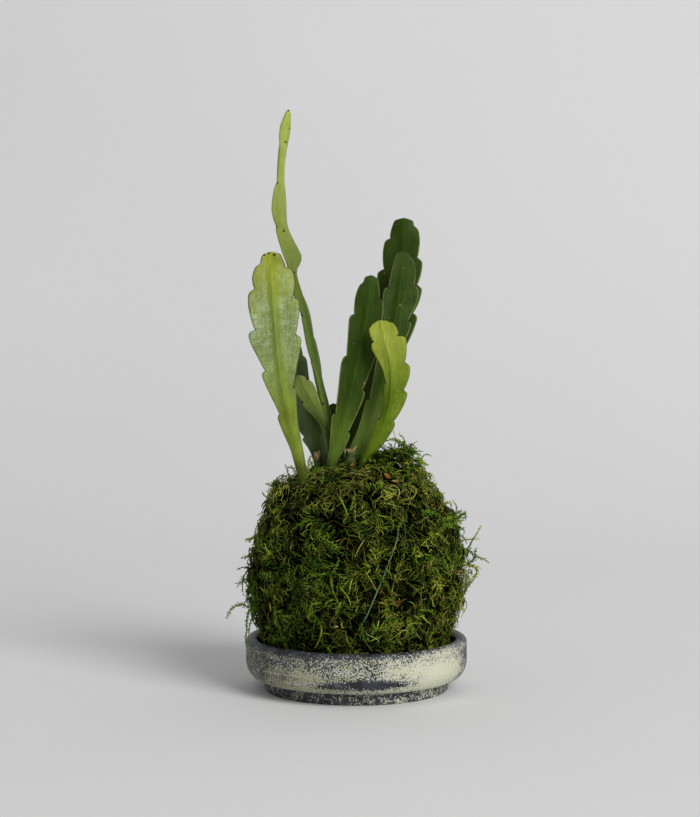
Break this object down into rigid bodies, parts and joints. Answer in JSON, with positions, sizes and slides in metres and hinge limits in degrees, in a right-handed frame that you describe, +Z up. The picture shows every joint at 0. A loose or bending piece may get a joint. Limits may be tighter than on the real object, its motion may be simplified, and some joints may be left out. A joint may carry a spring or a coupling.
{
  "type": "kokedama moss ball plant",
  "caption": "Orchid cactus with flat notched stems, rooted in a moss-covered ball of soil that rests in a round stepped ceramic saucer.",
  "frame": {"origin": "centre of the saucer's flat underside", "axes": "+Z up along the tallest stem, +X to the right of the front view, which looks along +Y"},
  "size_m": [0.1413, 0.1234, 0.3122],
  "materials": {
    "glazed_ceramic": "satin",
    "soil": "matte",
    "moss": "matte",
    "thread": "satin",
    "pale_stem": "satin",
    "mid_stem": "satin",
    "dark_stem": "satin",
    "bright_stem": "satin"
  },
  "bodies": {
    "root": {"saucer": "glazed_ceramic", "soil_ball": "soil", "moss_cover": "moss", "binding_thread": "thread", "stem_broad_pale": "pale_stem", "stem_tall_thin": "mid_stem", "stem_dark_left": "dark_stem", "stem_dark_front": "dark_stem", "stem_dark_tallest": "dark_stem", "stem_dark_right": "dark_stem", "stem_bright": "bright_stem", "stem_short_dark": "dark_stem"}
  },
  "joints": []
}
